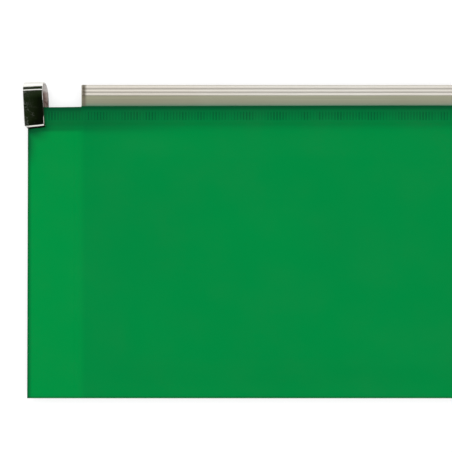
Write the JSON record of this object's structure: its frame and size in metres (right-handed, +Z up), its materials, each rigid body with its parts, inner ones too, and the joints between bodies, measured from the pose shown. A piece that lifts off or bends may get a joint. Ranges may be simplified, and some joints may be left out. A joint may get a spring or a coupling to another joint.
{
  "type": "zipper document folder",
  "caption": "Flat see-through green film folder with a fold at the bottom, welded side margins, a pale plastic track closure along the top edge and a bent metal slider.",
  "frame": {"origin": "middle of the underside of the folder's overall box, as it lies on a table with its front up", "axes": "+X along the zip, away from the parked slider; +Y from the bottom fold to the zip; +Z up out of the front panel"},
  "size_m": [0.2506, 0.1312, 0.0066],
  "materials": {
    "film": "smooth, slightly milky see-through green film",
    "weld": "fused green film, a little darker than the film",
    "track": "pale, warm grey, milky extruded plastic",
    "steel": "bright plated sheet steel"
  },
  "bodies": {
    "folder": {"front_panel": "film", "back_panel": "film", "bottom_fold": "film", "left_edge_weld": "weld", "right_edge_weld": "weld", "left_inner_weld": "weld", "right_inner_weld": "weld", "front_track": "track", "back_track": "track", "front_track_weld": "weld", "back_track_weld": "weld", "left_end_stop": "track", "right_end_stop": "track"},
    "slider": {"slider_shell": "steel", "slider_divider": "steel"}
  },
  "joints": [
    {"name": "slider_travel", "type": "slide", "parent": "folder", "child": "slider", "axis": [1, 0, 0], "range_m": [0, 0.2426]}
  ]
}
